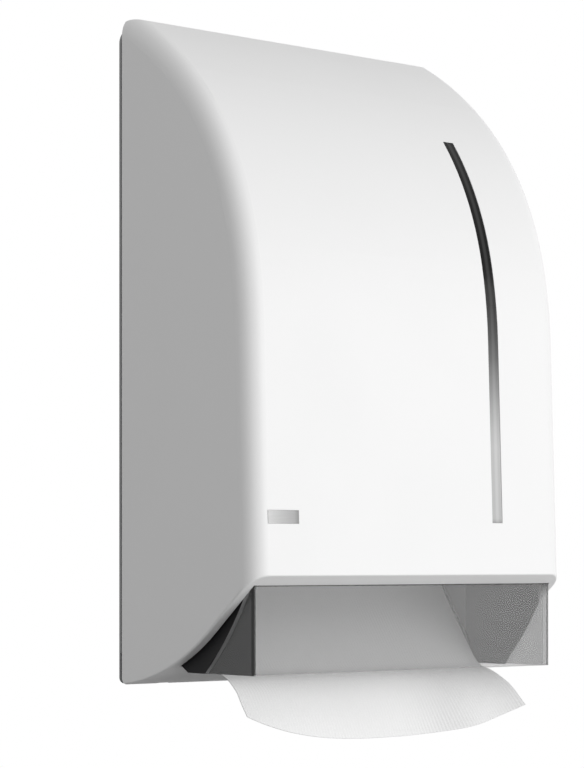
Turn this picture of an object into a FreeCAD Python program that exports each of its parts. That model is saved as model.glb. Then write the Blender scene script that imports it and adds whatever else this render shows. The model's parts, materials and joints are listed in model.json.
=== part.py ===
"""Wall-mounted dispenser for folded paper towels, with a bottom-hinged cover.

Units are millimetres. X runs along the width, Y runs into the wall and Z is up.
The origin is the centre of the wall-screw pattern on the wall face. Side outlines
are written as (depth, height): depth is the distance in front of the wall, and
height is measured from the bottom edge of the casing.
"""
import FreeCAD, Part
import math
import os
from FreeCAD import Vector

os.makedirs("parts", exist_ok=True)

# ---- towels -----------------------------------------------------------------
towel_width = 245.0
towel_length = 230.0
fold_loss = 2.0              # a towel folded once is this much shorter than half its length
towel_thickness = 1.0        # one towel of two plies, loosely folded
towel_gap = 0.3              # from a towel to what carries it
stack_height = 134.0

# ---- casing ---------------------------------------------------------------
side_room = 22.5             # from the towels' edge to the outside of the casing
front_room = 35.75           # from the towels' front to the casing's front lip
casing_height = 471.6
wall = 2.6                   # thickness of the cover
rear_gap = 3.0               # the cover's rear edge stands this far off the wall
crown_radius = 9.5           # rounding at the top rear
roof_slope = 29.5            # degrees below level, where each arc of the profile ends
brow_radius, brow_slope = 305.7, 42.9
shoulder_slope = 78.9        # the shoulder's radius follows from the casing's depth
front_radius, front_slope = 350.5, 87.94
lip_height = 77.6            # lower edge of the front
heel_radius = 4.5            # rounding at the bottom rear
belly_radius = 194.0         # the casing's lower edge: an arc, then a straight rise to the lip
belly_slope = 37.6           # degrees, of the straight rise
side_rounding_top = 6.6      # rounding between side and roof
side_rounding_front = 14.0   # rounding between side and front, at the lip
edge_rounding = 1.5          # along the casing's lower edge
flange = 7.4                 # width of the flange that borders the mouth
lip_flange = 8.4             # the same at the front lip

# ---- clearances -------------------------------------------------------------
running_clearance = 0.05     # radial, round a pin that turns
press_clearance = 0.02       # radial, round a pin or screw that is held
fit_gap = 0.2                # between pieces that are set into each other
free_gap = 0.5               # between pieces that move past each other

# ---- back plate and wall screws ---------------------------------------------
plate_thickness = 2.4
plate_inset = 0.5            # inside the casing's sides
plate_drop = 4.6             # below the casing's top
plate_bottom = 22.0          # below this the plate is a thin skirt, clear of the cover's heel
skirt_thickness, skirt_bottom = 1.4, 0.3
plate_corner = 12.0
rim_height = 5.6             # stiffening rim on the front of the plate
rim_thickness = 2.0
rim_gap = 1.0                # between the rim and the inside of the cover
screw_centre_height = 245.0  # centre of the wall-screw pattern
screw_spacing_x = 170.0
screw_spacing_z = 300.0
wall_screw_radius = 2.75     # hole
wall_boss_radius = 8.0
wall_boss_height = 2.0

# ---- small screws -------------------------------------------------------------
shank_radius = 1.5
head_radius = 3.0
head_height = 2.0
shank_end_depth = 0.4        # where a shank ends inside the back plate
floor_screw_depths = (20.0, 100.0)
floor_screw_shank = 0.8
floor_screw_length = 8.0
floor_head_radius = 2.0
floor_head_height = 1.2

# ---- hinge --------------------------------------------------------------------
hinge_depth, hinge_height = 14.0, 9.0
hinge_pin_radius = 2.5
hinge_bush_wall = 1.5
lug_radius = 4.4
lug_inset = 37.0             # from the casing's side to the inner face of the bracket's lug
lug_width = 9.0
knuckle_gap = 2.0            # between lug and knuckle
knuckle_width = 6.0
knuckle_radius = 6.0
pin_head_radius = 4.0
pin_head_length = 1.5
pin_overhang = 1.5
foot_bottom, foot_top = 24.0, 50.0
foot_thickness = 3.0
foot_wing = 8.0              # each side of the lug, for a screw
foot_screw_rise = 3.0        # of the screws above the middle of the foot
arm_lean = 20.0              # degrees
notch_depth = 13.0           # cut in the casing's heel, round each lug

# ---- magazine -----------------------------------------------------------------------
guide_gap = 2.5              # between the towels and each side guide
guide_thickness = 2.0
guide_lip = 12.0
guide_overhang = 6.3         # of the guides' front lips, ahead of the stack
guide_foot = 14.0
guide_front_drop = 171.6     # from the casing's top to the top of the guides' front edge
guide_shoulder_drop = 126.6
guide_top_drop = 81.6
guide_shoulder_run = 26.0    # how far the shoulder and the top lie behind the front edge
guide_top_run = 66.0
guide_screw_rise = 20.0      # lowest screw, above the floor
guide_screw_drop = 46.0      # highest screw, below the guides' top
floor_height = 84.0          # top of the magazine floor
floor_thickness = 3.0
mouth_rear, mouth_front = 32.5, 58.0   # the slot in the floor
mouth_margin = 1.5           # from the slot's end to the towel's edge

# ---- towel chute -----------------------------------------------------------------
ramp_top_depth = 35.5
ramp_foot_depth, ramp_foot_height = 77.5, 20.0
chute_bottom = 12.5
chute_wall = 2.0
chute_wall_top = 2.4         # the slanting walls, measured level, at the top
chute_wall_foot = 3.0        # and at the ramp's foot
chute_rear_depth = 24.5
bar_width = 14.0             # of the full-width bar, up to the ramp's foot
bar_chamfer_run, bar_chamfer_rise = 8.0, 2.4     # along its lower rear edge
bar_rear_gap = 1.6           # from the casing's closed underside
bar_top = 27.0
bar_top_run = 4.0            # how far the bar's top edge lies behind the ramp's foot
throat_wall = 2.0            # thickness of the chute's sides
throat_gap = 1.2             # from the sides to the wings of the lower window
throat_front_gap = 2.8       # and to its front
throat_top_gap = 3.0         # below the magazine floor
throat_foot_run = 22.8       # the right side's curved front edge: ahead of the ramp's end
throat_middle = (37.6, 28.0)
throat_shoulder_height = 57.0
bar_side_gap = 1.0           # to the flange of the casing

# ---- lower window ------------------------------------------------------------------
window_setback = 8.65        # from the casing's front lip to the window's front face
window_thickness = 3.0
window_bottom = 10.7
window_top = 92.0
window_foot_run = 9.8        # the wing's curved rear edge: ahead of the ramp's end
window_middle = (30.8, 32.2)
window_shoulder = (8.8, 66.5)          # top of that edge: depth behind the window's front
window_screw_inset = 45.0    # from the casing's side
window_screw_height = 86.0
window_screw_cover = 1.0     # left ahead of the screw's end, inside the cover's wall
window_boss_radius = 4.5

# ---- level window and badge ----------------------------------------------------------
level_inset, level_width = 61.5, 10.0  # the inset is from the casing's side
level_bottom = 114.6
level_top = casing_height - 76.6
level_recess = 0.3
level_rim = 2.5              # of the flange behind the cover
level_rim_thickness = 1.2
badge_inset, badge_width = 13.5, 26.5
badge_bottom, badge_top = 112.5, 121.5
badge_thickness = 0.8
badge_proud = 0.3
badge_gap = 0.1

# ---- lock at the top rear --------------------------------------------------------------
button_half_width = 7.5
button_rear, button_front = 3.6, 9.0
button_top = casing_height - 0.6
button_skirt = 7.0           # height of the button's cap
button_travel = 1.9
button_stop_gap = 1.1        # left under the cap when it is pressed
stem_half_width = 4.0
stem_rear, stem_front = 4.4, 8.2
stem_drop = 2.0              # the stem ends this far below the bridge
stem_start = 1.0             # and starts this far below the cap's top
nib_rear, nib_front = 6.0, 7.4
lock_pivot_depth = 17.0
lock_pivot_height = casing_height - 33.1
lever_half_width = 8.0
lever_pin_radius = 2.0
lever_boss_radius = 4.0
lever_arm_top = casing_height - 22.5
lever_arm_thickness = 4.3
lever_rear = 5.7
lever_front = 36.5
lever_nose_run = 4.0         # the chamfer at the lever's nose starts this far behind the bar
lever_nose_drop = 1.0
hook_gap = 0.4
hook_chamfer = 1.6
hook_tip_drop = 1.1          # the hook's tip lies this far below the bar's centre
button_gap = 0.3             # between the button's nib and the lever
keeper_depth = 30.0
keeper_height = casing_height - 31.1
keeper_radius = 2.0
keeper_rib_inner = 12.0
keeper_rib_thickness = 3.0
keeper_rib_reach = 5.0       # ahead of the bar and behind it
keeper_rib_drop = 4.5        # below the bar
cheek_thickness = 2.5
cheek_gap = 1.5
cheek_reach = 23.0
housing_bottom = casing_height - 44.0
housing_top = button_top - button_skirt - button_travel - button_stop_gap
housing_wing = 11.0
bridge_thickness = 5.0
ledge_thickness = 4.0        # the ledge carries the spring
ledge_margin = 1.0
spring_depth = 9.6
spring_radius = 2.6
spring_wire = 0.35
spring_turns = 6

# ---- closing buffers -----------------------------------------------------------------------
buffer_inset = 45.0          # from the casing's side
buffer_height = casing_height - 16.6
buffer_radius = 5.0
buffer_front = 12.0
buffer_gap = 0.1
stop_rib_width = 6.0
stop_rib_thickness = 3.0

casing_width = towel_width + 2 * side_room
half_width = casing_width / 2
foot_seat = plate_thickness + foot_thickness
guide_seat = plate_thickness + guide_thickness
lock_seat = plate_thickness + cheek_thickness
stack_rear = guide_seat + head_height + towel_gap
stack_depth = towel_length / 2 - fold_loss
casing_depth = stack_rear + stack_depth + front_room
guide_reach = stack_rear + stack_depth + guide_overhang
beyond = 40.0                # how far a cutting tool runs past what it cuts


# ---- places and plain solids ------------------------------------------------------------
def at(x, depth, height):
    return Vector(x, -depth, height - screw_centre_height)


def block(x0, x1, depth0, depth1, height0, height1):
    return Part.makeBox(x1 - x0, depth1 - depth0, height1 - height0, at(x0, depth1, height0))


def cross_rod(x0, x1, depth, height, radius):
    return Part.makeCylinder(radius, x1 - x0, at(x0, depth, height), Vector(1, 0, 0))


def forward_rod(x, height, depth0, depth1, radius):
    return Part.makeCylinder(radius, depth1 - depth0, at(x, depth0, height), Vector(0, -1, 0))


def side_prism(outline, x0, x1):
    """A closed outline of (depth, height) corners, stretched along X."""
    corners = [at(x0, depth, height) for depth, height in outline]
    face = Part.Face(Part.makePolygon(corners + corners[:1]))
    return face.extrude(Vector(x1 - x0, 0, 0))


def edges_to_solid(edges, width):
    return Part.Face(Part.Wire(edges)).extrude(Vector(width, 0, 0))


def line(x, start, end):
    return Part.LineSegment(at(x, *start), at(x, *end)).toShape()


def arc(x, start, middle, end):
    return Part.Arc(at(x, *start), at(x, *middle), at(x, *end)).toShape()


def both_sides(shape):
    return shape, shape.mirror(Vector(0, 0, 0), Vector(1, 0, 0))


def small_screw(x, height, seat_depth, end_depth=shank_end_depth):
    """A screw that points at the wall, with its head seated at seat_depth."""
    shank = forward_rod(x, height, end_depth, seat_depth, shank_radius)
    return shank.fuse(forward_rod(x, height, seat_depth, seat_depth + head_height, head_radius))


def small_screw_hole(x, height, depth0, depth1):
    return forward_rod(x, height, depth0, depth1, shank_radius + press_clearance)


def write(node, shape):
    shape = shape.removeSplitter()
    solids = shape.Solids
    if not solids or not shape.isValid():
        raise ValueError(node + " is not a sound solid")
    shape = solids[0] if len(solids) == 1 else Part.makeCompound(solids)
    shape.exportStep("parts/" + node + ".step")
    print(node, len(solids), "solid(s),", round(shape.Volume), "mm3")


# ---- the casing's side profile -------------------------------------------------------------
def outward(slope):
    """Direction out of the profile where it falls at this many degrees."""
    angle = math.radians(slope)
    return math.sin(angle), math.cos(angle)


def moved(point, direction, distance):
    return point[0] + direction[0] * distance, point[1] + direction[1] * distance


def arc_run(radius, start, end):
    """How far forward and down an arc of the profile leads."""
    first, last = outward(start), outward(end)
    return radius * (last[0] - first[0]), radius * (first[1] - last[1])


def shoulder_for_depth():
    """The shoulder's radius that brings the lip to the casing's depth."""
    lean = math.tan(math.radians(90 - front_slope))
    crown = outward(roof_slope)
    forward = crown_radius * (1 + crown[0])
    down = crown_radius * (1 - crown[1])
    for radius, start, end in ((brow_radius, roof_slope, brow_slope),
                               (front_radius, shoulder_slope, front_slope)):
        step = arc_run(radius, start, end)
        forward += step[0]
        down += step[1]
    unit = arc_run(1.0, brow_slope, shoulder_slope)
    missing = casing_depth - forward - (casing_height - down - lip_height) * lean
    return missing / (unit[0] - unit[1] * lean)


shoulder_radius = shoulder_for_depth()
profile_arcs = []            # (centre, radius, slope where it starts, slope where it ends)
arc_centre = (crown_radius, casing_height - crown_radius)
arc_radius = crown_radius
arc_slope = roof_slope
for next_radius, next_slope in (
    (brow_radius, brow_slope),
    (shoulder_radius, shoulder_slope),
    (front_radius, front_slope),
):
    arc_centre = moved(arc_centre, outward(arc_slope), arc_radius - next_radius)
    profile_arcs.append((arc_centre, next_radius, arc_slope, next_slope))
    arc_radius, arc_slope = next_radius, next_slope

crown_centre = (crown_radius, casing_height - crown_radius)
roof_back = (-outward(90 - roof_slope)[0], outward(90 - roof_slope)[1])
front_down = (outward(90 - front_slope)[0], -outward(90 - front_slope)[1])
front_start = moved(arc_centre, outward(front_slope), front_radius)
lip = moved(front_start, front_down, (front_start[1] - lip_height) / -front_down[1])

# the casing's lower edge starts at the heel's rounding with the belly's arc, which ends
# where the straight rise to the lip begins
heel_centre = (rear_gap + heel_radius, heel_radius)
near_radius = belly_radius - heel_radius
up_rise = (math.cos(math.radians(belly_slope)), math.sin(math.radians(belly_slope)))
off_rise = (-up_rise[1], up_rise[0])             # from the rise into the casing
above_lip = moved(lip, off_rise, belly_radius)
across = (above_lip[0] - heel_centre[0], above_lip[1] - heel_centre[1])
back = across[0] * up_rise[0] + across[1] * up_rise[1]
rise_length = back - math.sqrt(back ** 2 - math.hypot(*across) ** 2 + near_radius ** 2)
belly_centre = moved(above_lip, up_rise, -rise_length)
heel_slope = math.degrees(math.asin((heel_centre[0] - belly_centre[0]) / near_radius))


def belly_point(slope, inset):
    """The point of the belly's arc where it rises by this many degrees."""
    angle = math.radians(slope)
    return moved(belly_centre, (math.sin(angle), -math.cos(angle)), belly_radius - inset)


def on_lower_edge(place):
    from_lip = (place[0] - lip[0]) * off_rise[0] + (place[1] - lip[1]) * off_rise[1]
    from_arc = math.dist(place, belly_centre) - belly_radius
    return min(abs(from_lip), abs(from_arc)) < 0.02


def arc_point(centre, radius, slope):
    return moved(centre, outward(slope), radius)


def rounded_blank(inset):
    """Roof, brow, shoulder and front with rounded side edges, past the casing at both ends."""
    x = -half_width + inset
    roof_start = arc_point(crown_centre, crown_radius - inset, roof_slope)
    back = moved(roof_start, roof_back, beyond)
    edges = [line(x, back, roof_start)]
    for centre, radius, start, end in profile_arcs:
        radius -= inset
        points = [arc_point(centre, radius, slope) for slope in (start, (start + end) / 2, end)]
        edges.append(arc(x, *points))
    corner = moved(points[-1], front_down, (points[-1][1] + beyond) / -front_down[1])
    edges.append(line(x, points[-1], corner))
    edges.append(line(x, corner, (back[0], corner[1])))
    edges.append(line(x, (back[0], corner[1]), back))
    blank = edges_to_solid(edges, 2 * (half_width - inset))
    tops = []
    for edge in blank.Edges:
        box = edge.BoundBox
        level = at(0, 0, roof_start[1]).z
        if box.XLength < 0.001 and box.ZMin > level - 0.01 and box.YMin > -roof_start[0] - 0.01:
            tops.append(edge)
    return blank.makeFillet(side_rounding_top - inset, side_rounding_front - inset, tops)


def trimming_prism(inset):
    """Cuts the blank at the rear edge, the crown, the heel and the belly."""
    x = -half_width - beyond
    crown = crown_radius - inset
    crown_start = -math.degrees(math.asin(min((crown_radius - rear_gap) / crown, 1.0)))
    crown_points = [arc_point(crown_centre, crown, slope)
                    for slope in (crown_start, (crown_start + roof_slope) / 2, roof_slope)]
    above = (crown_points[-1][0], casing_height + beyond)
    bend = belly_point(belly_slope, inset)
    belly_front = moved(bend, up_rise, rise_length + wall)
    heel = max(heel_radius - inset, 0.2)
    heel_end = moved(heel_centre, (math.sin(math.radians(heel_slope)),
                                   -math.cos(math.radians(heel_slope))), heel)
    heel_middle = (heel_centre[0] - heel * math.sin(math.pi / 4),
                   heel_centre[1] - heel * math.cos(math.pi / 4))
    heel_start = (heel_centre[0] - heel, heel_centre[1])
    edges = [
        arc(x, *crown_points),
        line(x, crown_points[-1], above),
        line(x, above, (belly_front[0] + beyond, above[1])),
        line(x, (belly_front[0] + beyond, above[1]), (belly_front[0] + beyond, belly_front[1])),
        line(x, (belly_front[0] + beyond, belly_front[1]), belly_front),
        line(x, belly_front, bend),
        arc(x, bend, belly_point((belly_slope + heel_slope) / 2, inset), heel_end),
        arc(x, heel_end, heel_middle, heel_start),
    ]
    rear_line = [heel_start, (rear_gap, heel_start[1]), (rear_gap, crown_points[0][1]), crown_points[0]]
    for start, end in zip(rear_line, rear_line[1:]):
        if math.dist(start, end) > 0.001:
            edges.append(line(x, start, end))
    return edges_to_solid(edges, casing_width + 2 * beyond)


def casing_form(inset):
    """The closed outer form of the casing, drawn in by inset all round."""
    return rounded_blank(inset).common(trimming_prism(inset))


def with_soft_belly(form):
    """Rounds the edges where the casing's sides and front meet its lower edge.

    One half is rounded and mirrored, so that both sides come out alike.
    """
    half = form.common(block(0, casing_width, -beyond, casing_depth + beyond,
                             -beyond, casing_height + beyond))
    seam = belly_point(belly_slope, 0)           # arc and rise run on smoothly here
    edges = []
    for edge in half.Edges:
        reach = edge.LastParameter - edge.FirstParameter
        points = [edge.valueAt(edge.FirstParameter + reach * share) for share in (0.1, 0.5, 0.9)]
        places = [(-point.y, point.z + screw_centre_height) for point in points]
        if (all(on_lower_edge(place) for place in places) and places[1][0] > hinge_depth
                and math.dist(places[1], seam) > edge_rounding and points[1].x > edge_rounding):
            edges.append(edge)
    right, left = both_sides(half.makeFillet(edge_rounding, edges))
    return left.fuse(right).removeSplitter()


cavity = casing_form(wall)
backing = casing_form(wall / 2)      # what is built onto the cover reaches into its wall


# ---- cover ------------------------------------------------------------------------------------
lug_inner_x = half_width - lug_inset
knuckle_x0 = lug_inner_x + lug_width + knuckle_gap
knuckle_x1 = knuckle_x0 + knuckle_width
bush_radius = hinge_pin_radius + running_clearance + hinge_bush_wall
mouth_half = half_width - flange
mouth_front_depth = lip[0] - lip_flange
wing_half = mouth_half - fit_gap
bar_rear_depth = ramp_foot_depth - bar_width
chin_depth = bar_rear_depth - bar_rear_gap       # the closed underside reaches this far forward
ramp_slope = (ramp_foot_depth - ramp_top_depth) / (floor_height - floor_thickness - ramp_foot_height)
toe_depth = ramp_foot_depth + ramp_slope * (ramp_foot_height - chute_bottom)     # the ramp's end
level_right = half_width - level_inset
level_left = level_right - level_width
badge_left = -half_width + badge_inset
badge_right = badge_left + badge_width
window_screw_x = half_width - window_screw_inset
buffer_x = half_width - buffer_inset
window_front = lip[0] - window_setback
window_rear_face = window_front - window_thickness


def cover_shell():
    shell = with_soft_belly(casing_form(0.0).cut(cavity))
    mouth = block(-mouth_half, mouth_half, chin_depth, mouth_front_depth, -beyond, lip_height)
    return shell.cut(mouth)


def hinge_knuckle():
    web = block(knuckle_x0, knuckle_x1, hinge_depth - knuckle_radius, hinge_depth + knuckle_radius,
                0, hinge_height)
    web = web.fuse(cross_rod(knuckle_x0, knuckle_x1, hinge_depth, hinge_height, knuckle_radius))
    return web.common(backing)


def front_cover():
    cover = cover_shell()
    additions = list(both_sides(hinge_knuckle()))
    for side in (-1, 1):
        rib_x = side * (keeper_rib_inner + keeper_rib_thickness / 2)
        rib = block(rib_x - keeper_rib_thickness / 2, rib_x + keeper_rib_thickness / 2,
                    keeper_depth - keeper_rib_reach, keeper_depth + keeper_rib_reach,
                    keeper_height - keeper_rib_drop, casing_height)
        additions.append(rib.common(backing))
        stop = block(side * buffer_x - stop_rib_width / 2, side * buffer_x + stop_rib_width / 2,
                     buffer_front + buffer_gap, buffer_front + buffer_gap + stop_rib_thickness,
                     buffer_height - buffer_radius, casing_height)
        additions.append(stop.common(backing))
    for x in window_screw_places:
        boss = forward_rod(x, window_screw_height, window_front, lip[0], window_boss_radius)
        additions.append(boss.common(backing))
    cover = cover.multiFuse(additions)

    cuts = []
    for bore in both_sides(cross_rod(knuckle_x0 - 1, knuckle_x1 + 1, hinge_depth, hinge_height,
                                     bush_radius + press_clearance)):
        cuts.append(bore)
    notch = block(lug_inner_x - free_gap - 1, knuckle_x0 - free_gap, 0, notch_depth,
                  -beyond, hinge_height + knuckle_radius)
    cuts.extend(both_sides(notch))
    cuts.append(block(level_left, level_right, chin_depth, lip[0] + beyond, level_bottom, level_top))
    badge = block(badge_left - badge_gap, badge_right + badge_gap, chin_depth, lip[0] + beyond,
                  badge_bottom - badge_gap, badge_top + badge_gap)
    cuts.append(badge.cut(casing_form(badge_thickness - badge_proud + badge_gap)))
    cuts.append(block(-button_half_width - free_gap, button_half_width + free_gap,
                      0, button_front + free_gap, housing_top, casing_height + beyond))
    cuts.append(cross_rod(-keeper_end - 1, keeper_end + 1, keeper_depth, keeper_height,
                          keeper_radius + press_clearance))
    for x in window_screw_places:
        cuts.append(forward_rod(x, window_screw_height, window_front - 1, window_screw_end,
                                shank_radius + press_clearance))
    return cover.cut(cuts)


# ---- pieces carried by the cover -----------------------------------------------------------------
window_screw_places = (-window_screw_x, 0.0, window_screw_x)
window_screw_end = lip[0] - wall - window_screw_cover
keeper_end = keeper_rib_inner + keeper_rib_thickness


def level_window():
    pane = block(level_left + fit_gap / 2, level_right - fit_gap / 2, chin_depth, lip[0] + beyond,
                 level_bottom + fit_gap / 2, level_top - fit_gap / 2)
    rim = block(level_left - level_rim, level_right + level_rim, chin_depth, lip[0] + beyond,
                level_bottom - level_rim, level_top + level_rim)
    back_of_cover = casing_form(wall + 0.02)
    back_of_rim = casing_form(wall + level_rim_thickness)
    pane = pane.common(casing_form(level_recess)).cut(back_of_rim)
    return pane.fuse(rim.common(back_of_cover).cut(back_of_rim))


def badge_plate():
    plate = block(badge_left, badge_right, chin_depth, lip[0] + beyond, badge_bottom, badge_top)
    return plate.common(casing_form(-badge_proud)).cut(casing_form(badge_thickness - badge_proud))


def wing_rear_edge(gap):
    """Three points of the arc that lies behind the wings' rear edge by gap."""
    foot = (toe_depth + window_foot_run - gap, window_bottom)
    up_and_back = outward(45)
    middle = (toe_depth + window_middle[0] - gap * up_and_back[0],
              window_middle[1] + gap * up_and_back[1])
    return foot, middle, (window_front - window_shoulder[0] - gap, window_shoulder[1])


def lower_window():
    foot, middle, shoulder = wing_rear_edge(0)
    wing_edges = [
        line(-wing_half, (window_front, window_bottom), foot),
        arc(-wing_half, foot, middle, shoulder),
        line(-wing_half, shoulder, (shoulder[0], window_top)),
        line(-wing_half, (shoulder[0], window_top), (window_front, window_top)),
        line(-wing_half, (window_front, window_top), (window_front, window_bottom)),
    ]
    outside = edges_to_solid(wing_edges, 2 * wing_half)
    inside = block(-wing_half + window_thickness, wing_half - window_thickness, 0,
                   window_rear_face, -beyond, window_top + beyond)
    window = outside.cut(inside)
    holes = [small_screw_hole(x, window_screw_height, window_rear_face - 1, window_front + 1)
             for x in window_screw_places]
    return window.cut(holes)


def window_screws():
    screws = []
    for x in window_screw_places:
        shank = forward_rod(x, window_screw_height, window_rear_face, window_screw_end, shank_radius)
        head = forward_rod(x, window_screw_height, window_rear_face - head_height,
                           window_rear_face, head_radius)
        screws.append(shank.fuse(head))
    return Part.makeCompound(screws)


def keeper_bar():
    return cross_rod(-keeper_end, keeper_end, keeper_depth, keeper_height, keeper_radius)


def hinge_bush():
    tube = cross_rod(knuckle_x0, knuckle_x1, hinge_depth, hinge_height, bush_radius)
    return tube.cut(cross_rod(knuckle_x0 - 1, knuckle_x1 + 1, hinge_depth, hinge_height,
                              hinge_pin_radius + running_clearance))


# ---- back plate and what is screwed to it --------------------------------------------------------
plate_half = half_width - plate_inset
plate_top = casing_height - plate_drop
wall_screw_places = [(side * screw_spacing_x / 2, screw_centre_height + step * screw_spacing_z / 2)
                     for side in (-1, 1) for step in (-1, 1)]
foot_x0 = lug_inner_x - foot_wing
foot_x1 = lug_inner_x + lug_width + foot_wing
bracket_screw_places = [(x, (foot_bottom + foot_top) / 2 + foot_screw_rise)
                        for x in (foot_x0 + foot_wing / 2, foot_x1 - foot_wing / 2)]
guide_x = towel_width / 2 + guide_gap          # inner face of the right side guide
guide_front_top = casing_height - guide_front_drop
guide_shoulder = casing_height - guide_shoulder_drop
guide_top = casing_height - guide_top_drop
guide_screw_low = floor_height + guide_screw_rise
guide_screw_high = guide_top - guide_screw_drop
guide_screw_heights = (guide_screw_low, (guide_screw_low + guide_screw_high) / 2, guide_screw_high)
guide_screw_x = guide_x - guide_foot / 2
cheek_x = lever_half_width + cheek_gap         # inner face of the lock's cheeks
housing_half = cheek_x + cheek_thickness + housing_wing
lock_screw_x = cheek_x + cheek_thickness + housing_wing / 2
lock_screw_height = (housing_bottom + housing_top) / 2


def plate_screw_places():
    """Where the small screws enter the back plate."""
    places = [(side * x, height) for side in (-1, 1) for x, height in bracket_screw_places]
    places += [(side * guide_screw_x, height) for side in (-1, 1) for height in guide_screw_heights]
    places += [(side * lock_screw_x, lock_screw_height) for side in (-1, 1)]
    return places


def round_corners(plate, height, radius):
    """Rounds the corners of an upright plate that lie at this height."""
    level = at(0, 0, height).z
    corners = [edge for edge in plate.Edges
               if edge.BoundBox.YLength > 1 and abs(edge.CenterOfMass.z - level) < 0.01]
    return plate.makeFillet(radius, corners)


def rounded_plate(inset, depth0, depth1):
    plate = block(-plate_half + inset, plate_half - inset, depth0, depth1,
                  plate_bottom, plate_top - inset)
    return round_corners(plate, plate_top - inset, plate_corner - inset)


def back_plate():
    plate = rounded_plate(0, 0, plate_thickness)
    rim_outside = wall + rim_gap - plate_inset
    rim = rounded_plate(rim_outside, 0, plate_thickness + rim_height)
    rim = rim.cut(rounded_plate(rim_outside + rim_thickness, -1, plate_thickness + rim_height + 1))
    skirt = round_corners(block(-plate_half, plate_half, 0, skirt_thickness,
                                skirt_bottom, plate_bottom), skirt_bottom, heel_radius)
    bosses = [forward_rod(x, height, 0, plate_thickness + wall_boss_height, wall_boss_radius)
              for x, height in wall_screw_places]
    plate = plate.multiFuse([rim, skirt] + bosses)
    holes = [forward_rod(x, height, -1, beyond, wall_screw_radius)
             for x, height in wall_screw_places]
    holes += [small_screw_hole(x, height, -1, beyond) for x, height in plate_screw_places()]
    button_way = block(-button_half_width - free_gap, button_half_width + free_gap,
                       plate_thickness, beyond, housing_top, casing_height)
    return plate.cut(holes + [button_way])


def hinge_bracket():
    lug_x1 = lug_inner_x + lug_width
    lean = math.radians(arm_lean)
    reach, drop = lug_radius * math.cos(lean), lug_radius * math.sin(lean)
    arm = side_prism([
        (plate_thickness, foot_bottom),
        (plate_thickness, foot_top),
        (foot_seat, foot_top),
        (hinge_depth + reach, hinge_height + drop),
        (hinge_depth - reach, hinge_height - drop),
    ], lug_inner_x, lug_x1)
    arm = arm.fuse(cross_rod(lug_inner_x, lug_x1, hinge_depth, hinge_height, lug_radius))
    foot = block(foot_x0, foot_x1, plate_thickness, foot_seat, foot_bottom, foot_top)
    bracket = arm.fuse(foot)
    holes = [small_screw_hole(x, height, 0, foot_seat + 1) for x, height in bracket_screw_places]
    holes.append(cross_rod(lug_inner_x - 1, lug_x1 + 1, hinge_depth, hinge_height,
                           hinge_pin_radius + press_clearance))
    return bracket.cut(holes)


def hinge_pin():
    head_x = lug_inner_x - pin_head_length
    pin = cross_rod(head_x, knuckle_x1 + pin_overhang, hinge_depth, hinge_height, hinge_pin_radius)
    return pin.fuse(cross_rod(head_x, lug_inner_x, hinge_depth, hinge_height, pin_head_radius))


def side_guide():
    outline = [
        (plate_thickness, floor_height - floor_thickness),
        (guide_reach, floor_height - floor_thickness),
        (guide_reach, guide_front_top),
        (guide_reach - guide_shoulder_run, guide_shoulder),
        (guide_reach - guide_top_run, guide_top),
        (plate_thickness, guide_top),
    ]
    guide = side_prism(outline, guide_x, guide_x + guide_thickness)
    front = block(guide_x - guide_lip, guide_x + guide_thickness, guide_reach - guide_thickness,
                  guide_reach, floor_height, guide_front_top)
    foot = block(guide_x - guide_foot, guide_x + guide_thickness, plate_thickness, guide_seat,
                 floor_height, guide_top)
    holes = [small_screw_hole(guide_screw_x, height, 0, guide_seat + 1)
             for height in guide_screw_heights]
    floor_holes = [floor_screw_hole(depth) for depth in floor_screw_depths]
    return guide.multiFuse([front, foot]).cut(holes + floor_holes)


# ---- magazine floor and chute ------------------------------------------------------------------------
floor_half = guide_x
floor_rear, floor_front = plate_thickness, guide_reach - guide_thickness
floor_screw_height = floor_height - floor_thickness / 2


def floor_screw_hole(depth):
    """A hole along X, through the right side guide into the edge of the floor."""
    return cross_rod(floor_half - floor_screw_length, guide_x + guide_thickness + 1, depth,
                     floor_screw_height, floor_screw_shank + press_clearance)


def magazine_floor():
    floor = block(-floor_half, floor_half, floor_rear, floor_front,
                  floor_height - floor_thickness, floor_height)
    slot_half = towel_width / 2 + mouth_margin
    slot = block(-slot_half, slot_half, mouth_rear, mouth_front, 0, floor_height + 1)
    holes = []
    for depth in floor_screw_depths:
        holes.extend(both_sides(floor_screw_hole(depth)))
    return floor.cut([slot] + holes)


def floor_screws():
    screws = []
    outside = guide_x + guide_thickness
    for depth in floor_screw_depths:
        shank = cross_rod(floor_half - floor_screw_length, outside, depth, floor_screw_height,
                          floor_screw_shank)
        head = cross_rod(outside, outside + floor_head_height, depth, floor_screw_height,
                         floor_head_radius)
        screws.extend(both_sides(shank.fuse(head)))
    return Part.makeCompound(screws)


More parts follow.
